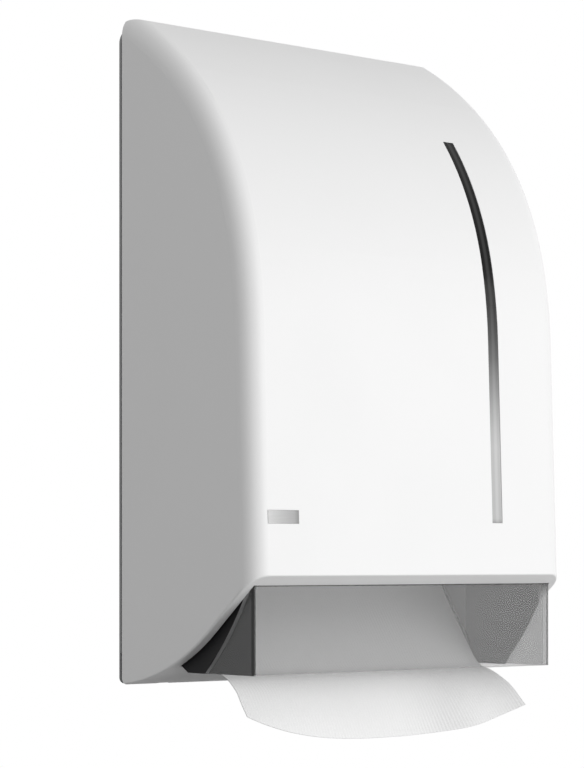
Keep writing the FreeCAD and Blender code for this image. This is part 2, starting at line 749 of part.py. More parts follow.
def towel_chute():
    top = floor_height - floor_thickness
    outside = [
        (chute_rear_depth, top), (ramp_top_depth, top), (toe_depth, chute_bottom),
        (bar_rear_depth + bar_chamfer_run, chute_bottom),
        (bar_rear_depth, chute_bottom + bar_chamfer_rise), (bar_rear_depth, bar_top),
    ]
    inside = [
        (chute_rear_depth + chute_wall_top, top + 1),
        (ramp_top_depth - chute_wall_top, top + 1),
        (ramp_foot_depth - chute_wall_foot, ramp_foot_height),
        (ramp_foot_depth - chute_wall_foot, chute_bottom + chute_wall),
        (bar_rear_depth + bar_chamfer_run, chute_bottom + chute_wall),
        (bar_rear_depth + chute_wall, chute_bottom + bar_chamfer_rise + chute_wall),
        (bar_rear_depth + chute_wall, bar_top),
    ]
    half = guide_x + guide_thickness
    ramp = side_prism(outside, -half, half)
    ramp = ramp.cut(side_prism(inside, -half + chute_wall, half - chute_wall))
    bar_half = mouth_half - bar_side_gap
    bar = [
        (bar_rear_depth, chute_bottom + bar_chamfer_rise),
        (bar_rear_depth + bar_chamfer_run, chute_bottom), (toe_depth, chute_bottom),
        (ramp_foot_depth, ramp_foot_height), (ramp_foot_depth - bar_top_run, bar_top),
        (bar_rear_depth, bar_top),
    ]
    bar_ends = both_sides(side_prism(bar, half - chute_wall, bar_half))
    return ramp.multiFuse(bar_ends + throat_sides(bar_half))


def throat_sides(outer_x):
    """The chute's sides: walls that step inwards ahead of the wings' rear edge.

    The left wall reaches forward to the lower window, and the right one ends in a curve.
    """
    inner_x = wing_half - window_thickness - throat_gap - throat_wall
    top = floor_height - floor_thickness - throat_top_gap
    rear = [(bar_rear_depth, top), (bar_rear_depth, chute_bottom + bar_chamfer_rise)]
    bottom = (bar_rear_depth + bar_chamfer_run, chute_bottom)
    foot, middle, shoulder = wing_rear_edge(free_gap)
    foot = (foot[0], chute_bottom)
    behind_wing = throat_prism([rear[1], bottom, foot], middle,
                               [shoulder, (shoulder[0], top), rear[0]], inner_x, outer_x)
    foot, middle, shoulder = wing_rear_edge(free_gap + throat_wall)
    hollow = throat_prism(
        [(bar_rear_depth + throat_wall, bar_top), (toe_depth, bar_top), (foot[0] + throat_wall, bar_top)],
        middle,
        [shoulder, (shoulder[0], top - throat_wall), (bar_rear_depth + throat_wall, top - throat_wall)],
        inner_x - 1, outer_x - throat_wall)
    front = window_rear_face - throat_front_gap
    stepped = behind_wing.cut(hollow)
    straight = side_prism([rear[1], bottom, (front, chute_bottom), (front, top), rear[0]],
                          inner_x, inner_x + throat_wall)
    curved = throat_prism(
        [rear[1], bottom, (toe_depth + throat_foot_run, chute_bottom)],
        (toe_depth + throat_middle[0], throat_middle[1]),
        [(front, throat_shoulder_height), (front, top), rear[0]],
        inner_x, inner_x + throat_wall)
    return both_sides(stepped.fuse(straight))[1], stepped.fuse(curved)


def throat_prism(before, middle, after, x0, x1):
    """Corner points, an arc through middle, and corner points again, stretched along X."""
    edges = [line(x0, start, end) for start, end in zip(before, before[1:])]
    edges.append(arc(x0, before[-1], middle, after[0]))
    edges += [line(x0, start, end) for start, end in zip(after, after[1:] + before[:1])]
    return edges_to_solid(edges, x1 - x0)


# ---- towels ---------------------------------------------------------------------------------------------
sheet_seat = floor_height + towel_gap + towel_thickness / 2      # middle of the sheet on the floor
stack_bottom = sheet_seat + towel_thickness / 2 + towel_gap

sheet_bend = 3.0             # the sheet starts to bend this far ahead of the ramp

# the flap that hangs out: steps ahead of the ramp's end and below it, in the middle of
# the towel and at its corners, and how far the corners' shape holds across the width
flap_middle = ((6.0, 4.0), (15.0, 9.0), (26.0, 27.0), (37.5, 50.0))
flap_left_corner = ((6.0, 3.5), (14.5, 6.0), (27.0, 23.0), (35.5, 31.5))
flap_right_corner = ((6.0, 4.0), (17.0, 6.5), (32.5, 17.0), (54.0, 31.5))
flap_curl = ((-0.5, 1.0), (-0.3, 0.2), (-0.1, 0.0), (0.1, 0.0), (0.3, 0.35), (0.5, 1.0))


def leading_towel():
    """The lowest towel: flat under the stack, then down the ramp and out of the mouth."""
    off = towel_gap + towel_thickness / 2
    ramp = (ramp_foot_depth - ramp_top_depth, floor_height - floor_thickness - ramp_foot_height)
    ramp_length = math.hypot(*ramp)
    ramp_off = (ramp[1] / ramp_length * off, ramp[0] / ramp_length * off)
    bend_depth = ramp_top_depth + ramp_off[0]
    sections = []
    for share, curl in flap_curl:
        route = [
            (stack_rear + stack_depth, sheet_seat),
            (bend_depth + sheet_bend, sheet_seat),
            (bend_depth, floor_height - floor_thickness),
            (toe_depth + ramp_off[0], chute_bottom + ramp_off[1]),
        ]
        flap_corner = flap_left_corner if share < 0 else flap_right_corner
        for (ahead, drop), (corner_ahead, corner_drop) in zip(flap_middle, flap_corner):
            route.append((toe_depth + ahead + (corner_ahead - ahead) * curl,
                          chute_bottom - drop - (corner_drop - drop) * curl))
        outline = strip_outline(route, towel_thickness)
        corners = [at(share * towel_width, *point) for point in outline]
        sections.append(Part.makePolygon(corners + corners[:1]))
    return Part.makeLoft(sections, True, True)


def strip_outline(route, thickness):
    """The outline of a strip of even thickness along corner points of (depth, height)."""
    sides = ([], [])
    for index, point in enumerate(route):
        before = route[max(index - 1, 0)]
        after = route[min(index + 1, len(route) - 1)]
        ways = []
        for start, end in ((before, point), (point, after)):
            length = math.dist(start, end)
            if length > 0:
                ways.append(((end[0] - start[0]) / length, (end[1] - start[1]) / length))
        way = (sum(w[0] for w in ways), sum(w[1] for w in ways))
        size = math.hypot(*way)
        mitre = thickness / 2 / (size / len(ways))
        normal = (-way[1] / size, way[0] / size)
        sides[0].append(moved(point, normal, mitre))
        sides[1].append(moved(point, normal, -mitre))
    return sides[0] + sides[1][::-1]


def towel_stack():
    return block(-towel_width / 2, towel_width / 2, stack_rear, stack_rear + stack_depth,
                 stack_bottom, stack_bottom + stack_height)


# ---- lock -----------------------------------------------------------------------------------------------
def lock_housing():
    cheek_x1 = cheek_x + cheek_thickness
    cheek = block(cheek_x, cheek_x1, plate_thickness, cheek_reach, housing_bottom,
                  housing_top - bridge_thickness)
    wing = block(cheek_x, housing_half, plate_thickness, lock_seat, housing_bottom, housing_top)
    wing = wing.cut(small_screw_hole(lock_screw_x, lock_screw_height, 0, lock_seat + 1))
    bridge = block(-cheek_x1, cheek_x1, plate_thickness, button_front + free_gap,
                   housing_top - bridge_thickness, housing_top)
    ledge = block(-cheek_x1, cheek_x1, plate_thickness, spring_depth + spring_radius + ledge_margin,
                  housing_bottom, spring_bottom)
    housing = bridge.multiFuse(list(both_sides(cheek)) + list(both_sides(wing)) + [ledge])
    stem_way = block(-stem_half_width - fit_gap, stem_half_width + fit_gap,
                     stem_rear - fit_gap, stem_front + fit_gap,
                     housing_top - bridge_thickness - 1, housing_top + 1)
    pin_way = cross_rod(-cheek_x1 - 1, cheek_x1 + 1, lock_pivot_depth, lock_pivot_height,
                        lever_pin_radius + press_clearance)
    return housing.cut([stem_way, pin_way])


spring_bottom = housing_bottom + ledge_thickness
lever_arm_bottom = lever_arm_top - lever_arm_thickness
hook_inside = keeper_depth + keeper_radius + hook_gap
hook_tip = keeper_height - hook_tip_drop


def latch_lever():
    outline = [
        (lever_rear, lever_arm_top),
        (keeper_depth - lever_nose_run, lever_arm_top),
        (lever_front, lever_arm_top - lever_nose_drop),
        (lever_front, hook_tip + hook_chamfer),
        (lever_front - hook_chamfer, hook_tip),
        (hook_inside, hook_tip),
        (hook_inside, lever_arm_bottom),
        (lock_pivot_depth + lever_boss_radius, lever_arm_bottom),
        (lock_pivot_depth + lever_boss_radius, lock_pivot_height),
        (lock_pivot_depth - lever_boss_radius, lock_pivot_height),
        (lock_pivot_depth - lever_boss_radius, lever_arm_bottom),
        (lever_rear, lever_arm_bottom),
    ]
    lever = side_prism(outline, -lever_half_width, lever_half_width)
    lever = lever.fuse(cross_rod(-lever_half_width, lever_half_width, lock_pivot_depth,
                                 lock_pivot_height, lever_boss_radius))
    return lever.cut(cross_rod(-lever_half_width - 1, lever_half_width + 1, lock_pivot_depth,
                               lock_pivot_height, lever_pin_radius + running_clearance))


def latch_pin():
    end = cheek_x + cheek_thickness
    return cross_rod(-end, end, lock_pivot_depth, lock_pivot_height, lever_pin_radius)


def latch_spring():
    height = lever_arm_bottom - spring_bottom - 2 * spring_wire - 2 * fit_gap
    coil_radius = spring_radius - spring_wire
    foot = at(0, spring_depth, spring_bottom + spring_wire + fit_gap)
    coil = Part.makeHelix(height / spring_turns, height, coil_radius)
    coil.translate(foot)
    start = coil.Vertexes[0].Point
    section = Part.Wire(Part.makeCircle(spring_wire, start, Vector(0, 1, 0)))
    return Part.Wire(coil.Edges).makePipeShell([section], True, True)


def release_button():
    cap = block(-button_half_width, button_half_width, button_rear, button_front,
                button_top - button_skirt, button_top)
    stem = block(-stem_half_width, stem_half_width, stem_rear, stem_front,
                 housing_top - bridge_thickness - stem_drop, button_top - stem_start)
    nib = block(-stem_half_width, stem_half_width, nib_rear, nib_front,
                lever_arm_top + button_gap, button_top - stem_start)
    return cap.multiFuse([stem, nib])


# ---- write every node --------------------------------------------------------------------------------------
write("front_cover", front_cover())
write("level_window", level_window())
write("badge_plate", badge_plate())
write("lower_window", lower_window())
write("window_screws", window_screws())
write("keeper_bar", keeper_bar())
write("back_plate", back_plate())
write("magazine_floor", magazine_floor())
write("floor_screws", floor_screws())
write("towel_chute", towel_chute())
write("leading_towel", leading_towel())
write("towel_stack", towel_stack())
write("lock_housing", lock_housing())
write("latch_lever", latch_lever())
write("latch_pin", latch_pin())
write("latch_spring", latch_spring())
write("release_button", release_button())

for name, piece in (
    ("hinge_bracket", hinge_bracket()),
    ("hinge_pin", hinge_pin()),
    ("hinge_bush", hinge_bush()),
    ("side_guide", side_guide()),
    ("buffer", forward_rod(buffer_x, buffer_height, plate_thickness, buffer_front, buffer_radius)),
):
    right, left = both_sides(piece)
    write("right_" + name, right)
    write("left_" + name, left)

bracket_screws = [small_screw(side * x, height, foot_seat)
                  for side in (-1, 1) for x, height in bracket_screw_places]
guide_screws = [small_screw(side * guide_screw_x, height, guide_seat)
                for side in (-1, 1) for height in guide_screw_heights]
lock_screws = [small_screw(side * lock_screw_x, lock_screw_height, lock_seat) for side in (-1, 1)]
write("bracket_screws", Part.makeCompound(bracket_screws))
write("guide_screws", Part.makeCompound(guide_screws))
write("lock_screws", Part.makeCompound(lock_screws))
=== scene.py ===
# %% [markdown]
# # A wall-mounted dispenser for folded paper towels
#
# Blender dresses a finished construction here. The load call brings in the packed
# pieces at their real size and place, so nothing has to be fitted: a new piece is
# modelled in metres in the same frame. X runs along the width, Y runs into the wall
# and Z is up. The origin is the middle of the wall screws, on the wall.

# %% Load the frame
import bmesh
import bpy
import json
import math
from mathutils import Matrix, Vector, noise


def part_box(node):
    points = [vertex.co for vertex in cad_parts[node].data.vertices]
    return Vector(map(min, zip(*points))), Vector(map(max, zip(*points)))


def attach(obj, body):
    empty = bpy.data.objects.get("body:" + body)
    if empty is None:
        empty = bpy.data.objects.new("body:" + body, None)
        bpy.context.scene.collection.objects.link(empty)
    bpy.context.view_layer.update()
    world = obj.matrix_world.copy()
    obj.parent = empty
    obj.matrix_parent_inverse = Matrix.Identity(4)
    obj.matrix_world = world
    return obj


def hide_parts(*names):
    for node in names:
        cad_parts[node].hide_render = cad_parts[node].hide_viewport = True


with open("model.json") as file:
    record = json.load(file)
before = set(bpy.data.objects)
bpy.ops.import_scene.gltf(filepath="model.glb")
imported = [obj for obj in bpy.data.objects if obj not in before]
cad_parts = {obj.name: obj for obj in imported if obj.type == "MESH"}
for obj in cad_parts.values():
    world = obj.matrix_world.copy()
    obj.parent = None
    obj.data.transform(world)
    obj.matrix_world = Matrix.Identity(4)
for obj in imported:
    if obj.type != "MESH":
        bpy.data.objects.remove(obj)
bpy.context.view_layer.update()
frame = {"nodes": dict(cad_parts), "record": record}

wall_screw_height = 0.245            # of the origin, above the casing's bottom edge
nodes = frame["nodes"]
body_of_node = {node: body for body, members in frame["record"]["behaviour"]["bodies"].items()
                for node in members}
slot_of_node = {row["node"]: row["material_slot"] for row in frame["record"]["subparts"]}
print("pieces in the frame:", len(nodes))

# %% [markdown]
# The camera stands in front of the dispenser, to its left and low down, and looks
# level. A level camera keeps the upright edges of the casing upright in the picture.
# The casing is brought back into the picture by shifting the lens instead of tilting
# it, as a photographer of buildings does.

# %% Camera
camera_data = bpy.data.cameras.new("camera")
camera = bpy.data.objects.new("camera", camera_data)
bpy.context.scene.collection.objects.link(camera)
camera.location = (-1.1379, -1.4323, -0.1568)
camera.rotation_euler = (math.radians(90), 0, math.radians(-38.78))
camera_data.lens = 114.75
camera_data.shift_y = 0.229
bpy.context.scene.camera = camera

# %% [markdown]
# Materials and lamps are networks of nodes. Two small helpers keep the cells that
# follow short: one adds a node and sets its options, and the other makes a node group,
# which is an effect with named inputs and outputs that several materials can share.

# %% Helpers for node networks
number_socket, colour_socket = "NodeSocketFloat", "NodeSocketColor"

def add_node(tree, kind, **options):
    node = tree.nodes.new(kind)
    for name, value in options.items():
        setattr(node, name, value)
    return node

def new_group(name, inputs, outputs):
    tree = bpy.data.node_groups.new(name, "ShaderNodeTree")
    for socket, kind, value in inputs:
        tree.interface.new_socket(socket, in_out="INPUT", socket_type=kind).default_value = value
    for socket, kind in outputs:
        tree.interface.new_socket(socket, in_out="OUTPUT", socket_type=kind)
    return tree, tree.nodes.new("NodeGroupInput"), tree.nodes.new("NodeGroupOutput")

def use_group(tree, group, **values):
    node = add_node(tree, "ShaderNodeGroup", node_tree=group)
    for socket, value in values.items():
        node.inputs[socket.replace("_", " ")].default_value = value
    return node

# %% [markdown]
# The backdrop is a plain white one. A ray from the camera, a mirror or a glass sees
# the world at full white, while the light that the world gives is kept lower, so that
# the white casing keeps its soft shades. The floor is pale to the camera in the same
# way, and gives back less light than it shows, because the underside of the casing
# should lie in shade.

# %% World and floor
world_light = 0.46
floor_height, floor_size = -1.25, 8.0
floor_pale, floor_bounce = (0.86, 0.86, 0.86, 1), (0.11, 0.11, 0.11, 1)

def seen_directly(tree):
    """1 for a ray that shows the background: from the camera, a mirror or a glass."""
    light_path = add_node(tree, "ShaderNodeLightPath")
    sees = light_path.outputs["Is Camera Ray"]
    for other in ("Is Glossy Ray", "Is Transmission Ray"):
        either = add_node(tree, "ShaderNodeMath", operation="MAXIMUM")
        tree.links.new(sees, either.inputs[0])
        tree.links.new(light_path.outputs[other], either.inputs[1])
        sees = either.outputs[0]
    return sees

world = bpy.data.worlds.new("studio_world")
bpy.context.scene.world = world
world.use_nodes = True
world_tree = world.node_tree
strength = add_node(world_tree, "ShaderNodeMapRange")
strength.inputs["To Min"].default_value = world_light
world_tree.links.new(seen_directly(world_tree), strength.inputs["Value"])
background = world_tree.nodes["Background"]
background.inputs["Color"].default_value = (1, 1, 1, 1)
world_tree.links.new(strength.outputs["Result"], background.inputs["Strength"])

bpy.ops.object.select_all(action="DESELECT")
bpy.ops.mesh.primitive_plane_add(size=floor_size, location=(0, 0, floor_height))
floor = bpy.context.active_object
floor.name = "studio_floor"
floor_material = bpy.data.materials.new("studio_floor")
floor_material.use_nodes = True
floor_tree = floor_material.node_tree
floor_colour = add_node(floor_tree, "ShaderNodeMix", data_type="RGBA")
floor_colour.inputs["A"].default_value = floor_bounce
floor_colour.inputs["B"].default_value = floor_pale
floor_tree.links.new(seen_directly(floor_tree), floor_colour.inputs["Factor"])
floor_tree.links.new(floor_colour.outputs["Result"],
                     floor_tree.nodes["Principled BSDF"].inputs["Base Color"])
floor.data.materials.append(floor_material)

# %% [markdown]
# One large soft lamp stands to the right of the camera, so the front is bright and the
# left side falls into an even grey. It hangs no higher than the dispenser, which leaves
# the roof a little darker than the front. A weak one stands at the left and lifts that
# side and the rounding beside it. An area lamp is the right kind here: the larger it is,
# the softer its shade.

# %% Lamps
def softbox(name, place, target, size, power):
    data = bpy.data.lights.new(name, "AREA")
    data.shape = "RECTANGLE"
    data.size, data.size_y = size
    data.energy = power
    lamp = bpy.data.objects.new(name, data)
    bpy.context.scene.collection.objects.link(lamp)
    lamp.location = place
    lamp.rotation_euler = (Vector(target) - Vector(place)).to_track_quat("-Z", "Y").to_euler()
    print(name, "stands", round((Vector(place) - Vector(target)).length, 2), "m away")

middle_of_part = (0, -0.05, 0)
softbox("front_softbox", (1.2, -2.6, -0.10), middle_of_part, (2.4, 2.4), 58)
softbox("left_softbox", (-1.6, -2.2, -0.10), middle_of_part, (1.6, 1.6), 8)
bpy.context.scene.view_settings.view_transform = "Standard"

# %% [markdown]
# Moulded plastic is never perfectly even. Its mould leaves a fine grain, and larger
# patches are a little more or less polished. Both are noise on Object coordinates, so
# they keep their real size on every piece. The group gives the grain as a height and
# the patches as a mask, and each material decides how much of either it takes.

# %% Group: moulded grain
def grain_group():
    tree, given, result = new_group(
        "moulded_grain",
        [("Grain Scale", number_socket, 900.0), ("Patch Scale", number_socket, 14.0)],
        [("Grain", number_socket), ("Patches", number_socket)])
    coordinates = add_node(tree, "ShaderNodeTexCoord")
    for scale, output, detail in (("Grain Scale", "Grain", 2.0), ("Patch Scale", "Patches", 4.0)):
        cloud = add_node(tree, "ShaderNodeTexNoise")
        cloud.inputs["Detail"].default_value = detail
        tree.links.new(coordinates.outputs["Object"], cloud.inputs["Vector"])
        tree.links.new(given.outputs[scale], cloud.inputs["Scale"])
        tree.links.new(cloud.outputs["Fac"], result.inputs[output])
    return tree

moulded_grain = grain_group()

# %% [markdown]
# Dust settles where a surface looks up, and paper dust from the towels lies inside
# such a dispenser. The group takes a colour, darkens and lightens it a little by a
# mask, and lays dust on the faces whose normal points up.

# %% Group: settled dust
def dust_group():
    tree, given, result = new_group(
        "settled_dust",
        [("Colour", colour_socket, (1, 1, 1, 1)),
         ("Dust Colour", colour_socket, (0.6, 0.58, 0.55, 1)),
         ("Mask", number_socket, 0.5), ("Unevenness", number_socket, 0.05),
         ("Dust", number_socket, 0.2)],
        [("Colour", colour_socket)])
    shift = add_node(tree, "ShaderNodeMath", operation="MULTIPLY_ADD")
    shift.inputs[2].default_value = 1.0
    centred = add_node(tree, "ShaderNodeMath", operation="SUBTRACT")
    centred.inputs[1].default_value = 0.5
    tree.links.new(given.outputs["Mask"], centred.inputs[0])
    tree.links.new(centred.outputs[0], shift.inputs[0])
    tree.links.new(given.outputs["Unevenness"], shift.inputs[1])
    uneven = add_node(tree, "ShaderNodeVectorMath", operation="SCALE")
    tree.links.new(given.outputs["Colour"], uneven.inputs[0])
    tree.links.new(shift.outputs[0], uneven.inputs["Scale"])
    normal = add_node(tree, "ShaderNodeNewGeometry")
    axes = add_node(tree, "ShaderNodeSeparateXYZ")
    tree.links.new(normal.outputs["Normal"], axes.inputs[0])
    faces_up = add_node(tree, "ShaderNodeMapRange")
    faces_up.inputs["From Min"].default_value = 0.55
    faces_up.inputs["From Max"].default_value = 1.0
    tree.links.new(axes.outputs["Z"], faces_up.inputs["Value"])
    broken = add_node(tree, "ShaderNodeMath", operation="MULTIPLY")
    tree.links.new(faces_up.outputs["Result"], broken.inputs[0])
    tree.links.new(given.outputs["Mask"], broken.inputs[1])
    amount = add_node(tree, "ShaderNodeMath", operation="MULTIPLY")
    tree.links.new(broken.outputs[0], amount.inputs[0])
    tree.links.new(given.outputs["Dust"], amount.inputs[1])
    dusty = add_node(tree, "ShaderNodeMix", data_type="RGBA")
    tree.links.new(amount.outputs[0], dusty.inputs["Factor"])
    tree.links.new(uneven.outputs[0], dusty.inputs["A"])
    tree.links.new(given.outputs["Dust Colour"], dusty.inputs["B"])
    tree.links.new(dusty.outputs["Result"], result.inputs["Colour"])
    return tree

settled_dust = dust_group()

# %% [markdown]
# Metal and clear plastic show fine lines: brushing on the badge, turning and handling
# marks on the screws, wiping marks on the window. All are noise that is stretched
# along one axis, so one group serves them, with the stretch as an input.

# %% Group: fine lines
def lines_group():
    tree, given, result = new_group(
        "fine_lines",
        [("Stretch", "NodeSocketVector", (40.0, 2500.0, 2500.0))],
        [("Lines", number_socket)])
    coordinates = add_node(tree, "ShaderNodeTexCoord")
    stretched = add_node(tree, "ShaderNodeVectorMath", operation="MULTIPLY")
    tree.links.new(coordinates.outputs["Object"], stretched.inputs[0])
    tree.links.new(given.outputs["Stretch"], stretched.inputs[1])
    cloud = add_node(tree, "ShaderNodeTexNoise")
    cloud.inputs["Scale"].default_value = 1.0
    cloud.inputs["Detail"].default_value = 3.0
    tree.links.new(stretched.outputs[0], cloud.inputs["Vector"])
    tree.links.new(cloud.outputs["Fac"], result.inputs["Lines"])
    return tree

fine_lines = lines_group()

# %% [markdown]
# Every plastic of the dispenser is made by one recipe with its own values: colour,
# polish, grain and dust. What is the same all over a piece is set on the shader's own
# socket, and only what changes over the surface comes in through a link.

# %% Recipe for a moulded plastic
def new_material(name, colour, **sockets):
    material = bpy.data.materials.new(name)
    material.use_nodes = True
    shader = material.node_tree.nodes["Principled BSDF"]
    shader.inputs["Base Color"].default_value = (*colour, 1)
    for socket, value in sockets.items():
        shader.inputs[socket.replace("_", " ")].default_value = value
    return material, material.node_tree, shader

def link_range(tree, source, target, low, high, spread=(0.3, 0.7)):
    """Feeds target with source, brought from spread to low...high."""
    mapped = add_node(tree, "ShaderNodeMapRange", interpolation_type="SMOOTHSTEP")
    for socket, value in zip(("From Min", "From Max", "To Min", "To Max"), (*spread, low, high)):
        mapped.inputs[socket].default_value = value
    tree.links.new(source, mapped.inputs["Value"])
    tree.links.new(mapped.outputs["Result"], target)

def link_bump(tree, height, shader, depth):
    bump = add_node(tree, "ShaderNodeBump")
    bump.inputs["Distance"].default_value = depth
    tree.links.new(height, bump.inputs["Height"])
    tree.links.new(bump.outputs["Normal"], shader.inputs["Normal"])

def moulded_plastic(name, colour, polish, grain=900.0, depth=0.00002, uneven=0.05, dust=0.1,
                    dust_colour=(0.6, 0.58, 0.55), **sockets):
    material, tree, shader = new_material(name, colour, **sockets)
    surface = use_group(tree, moulded_grain, Grain_Scale=grain)
    dusty = use_group(tree, settled_dust, Colour=(*colour, 1), Dust_Colour=(*dust_colour, 1),
                      Unevenness=uneven, Dust=dust)
    tree.links.new(surface.outputs["Patches"], dusty.inputs["Mask"])
    tree.links.new(dusty.outputs["Colour"], shader.inputs["Base Color"])
    link_range(tree, surface.outputs["Patches"], shader.inputs["Roughness"], *polish)
    link_bump(tree, surface.outputs["Grain"], shader, depth)
    return material

# %% [markdown]
# The casing is a glossy white plastic that is easy to wipe clean. The pieces inside
# are plainer: grey for the sheet that holds them all, black for the throat that the
# towel slides through, ivory nylon where pins turn, and soft rubber for the buffers.

# %% Plastics
paper_dust = (0.75, 0.74, 0.72)
finishes = {
    "white_shell": moulded_plastic("white_shell", (0.855, 0.855, 0.855), (0.44, 0.50), grain=420.0,
                                   depth=0.000006, uneven=0.012, dust=0.04),
    # The grey is dark enough that the back plate's edge, in the gap at the wall, gives the dark
    # line there: that line is painted shade.
    "grey_frame": moulded_plastic("grey_frame", (0.24, 0.242, 0.245), (0.42, 0.58), uneven=0.12,
                                  dust=0.35, dust_colour=paper_dust),
    "black_throat": moulded_plastic("black_throat", (0.008, 0.008, 0.009), (0.40, 0.55),
                                    grain=1300.0, depth=0.00001, uneven=0.3, dust=0.03,
                                    dust_colour=paper_dust, Specular_IOR_Level=0.12),
    "nylon": moulded_plastic("nylon", (0.62, 0.60, 0.53), (0.38, 0.48), uneven=0.06),
    "lock_plastic": moulded_plastic("lock_plastic", (0.045, 0.046, 0.05), (0.32, 0.46),
                                    uneven=0.2),
    "button_plastic": moulded_plastic("button_plastic", (0.30, 0.31, 0.32), (0.30, 0.42),
                                      uneven=0.08),
    "buffer_rubber": moulded_plastic("buffer_rubber", (0.03, 0.03, 0.03), (0.72, 0.88), grain=700.0,
                                     depth=0.00005, uneven=0.25, dust=0.4, dust_colour=paper_dust),
}
print("plastics:", len(finishes))

# %% [markdown]
# The screws are bright zinc-plated steel. A metal has its colour in its reflection, so
# Metallic is 1 and the lines only change the polish. The badge is a lacquered foil with
# a brushed look, so it is only a little metallic. Its colour is darker towards its right
# end, which is done by a colour ramp along X.

# %% Metals
def screw_steel():
    material, tree, shader = new_material("screw_steel", (0.62, 0.62, 0.60), Metallic=1.0)
    marks = use_group(tree, fine_lines, Stretch=(900.0, 900.0, 900.0))
    link_range(tree, marks.outputs["Lines"], shader.inputs["Roughness"], 0.22, 0.42)
    link_bump(tree, marks.outputs["Lines"], shader, 0.00002)
    return material

def along_axis(tree, axis, low, high):
    """0 to 1 between two places on an Object axis, in metres."""
    coordinates = add_node(tree, "ShaderNodeTexCoord")
    axes = add_node(tree, "ShaderNodeSeparateXYZ")
    tree.links.new(coordinates.outputs["Object"], axes.inputs[0])
    share = add_node(tree, "ShaderNodeMapRange")
    share.inputs["From Min"].default_value = low
    share.inputs["From Max"].default_value = high
    tree.links.new(axes.outputs[axis], share.inputs["Value"])
    return share.outputs["Result"]

def ramp(tree, source, *stops):
    """A colour ramp of (place, grey) stops."""
    made = add_node(tree, "ShaderNodeValToRGB")
    elements = made.color_ramp.elements
    while len(elements) < len(stops):
        elements.new(0.5)
    for element, (place, grey) in zip(elements, stops):
        element.position = place
        element.color = (grey, grey, grey, 1)
    tree.links.new(source, made.inputs["Fac"])
    return made.outputs["Color"]

def badge_metal():
    low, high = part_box("badge_plate")
    material, tree, shader = new_material("badge_metal", (0.5, 0.5, 0.5), Metallic=0.2)
    brushed = use_group(tree, fine_lines, Stretch=(60.0, 4000.0, 4000.0))
    face = ramp(tree, along_axis(tree, "X", low[0], high[0]),
                (0.0, 0.46), (0.4, 0.36), (0.85, 0.27), (1.0, 0.16))
    shade = add_node(tree, "ShaderNodeMix", data_type="RGBA", blend_type="MULTIPLY")
    shade.inputs["Factor"].default_value = 1.0
    tree.links.new(face, shade.inputs["A"])
    tree.links.new(ramp(tree, brushed.outputs["Lines"], (0.3, 0.86), (0.7, 1.0)), shade.inputs["B"])
    tree.links.new(shade.outputs["Result"], shader.inputs["Base Color"])
    link_range(tree, brushed.outputs["Lines"], shader.inputs["Roughness"], 0.30, 0.48)
    link_bump(tree, brushed.outputs["Lines"], shader, 0.00001)
    return material

finishes["screw_steel"] = screw_steel()
finishes["badge_metal"] = badge_metal()

# %% [markdown]
# The lower window is clear plastic with a grey tint. A path through two faces of it
# loses light twice, so each face has a low Alpha instead of a solid colour. What it
# lets through to light the paper is more than what the eye sees through it, because
# light also comes in round it: a shadow ray meets a lower Alpha. At its two corners
# the plastic is seen through its whole width and is denser, and its cut edges are frosted
# and lighter, so there are three materials. Faint streaks are left by wiping.

# %% Smoked plastic
def smoked_plastic(name, colour, alpha, alpha_in_shadow, shine=0.5):
    material, tree, shader = new_material(name, colour, IOR=1.49, Specular_IOR_Level=shine)
    wiped = use_group(tree, fine_lines, Stretch=(9.0, 140.0, 140.0))
    link_range(tree, wiped.outputs["Lines"], shader.inputs["Roughness"], 0.06, 0.10)
    tint = use_group(tree, settled_dust, Colour=(*colour, 1), Unevenness=0.16, Dust=0.1)
    tree.links.new(wiped.outputs["Lines"], tint.inputs["Mask"])
    tree.links.new(tint.outputs["Colour"], shader.inputs["Base Color"])
    light_path = add_node(tree, "ShaderNodeLightPath")
    lets_through = add_node(tree, "ShaderNodeMapRange")
    lets_through.inputs["To Min"].default_value = alpha
    lets_through.inputs["To Max"].default_value = alpha_in_shadow
    tree.links.new(light_path.outputs["Is Shadow Ray"], lets_through.inputs["Value"])
    tree.links.new(lets_through.outputs["Result"], shader.inputs["Alpha"])
    return material

finishes["smoked_window"] = smoked_plastic("smoked_window", (0.18, 0.18, 0.18), 0.37, 0.12)
smoked_edge_and_painted_shadow = smoked_plastic("smoked_edge_and_painted_shadow", (0.06, 0.06, 0.06), 0.80, 0.40, shine=0.1)
# This lighter frosted colour also paints a band of light at the window's right.
sawn_edge_and_painted_light = smoked_plastic("sawn_edge_and_painted_light", (0.55, 0.55, 0.55), 0.60, 0.20)
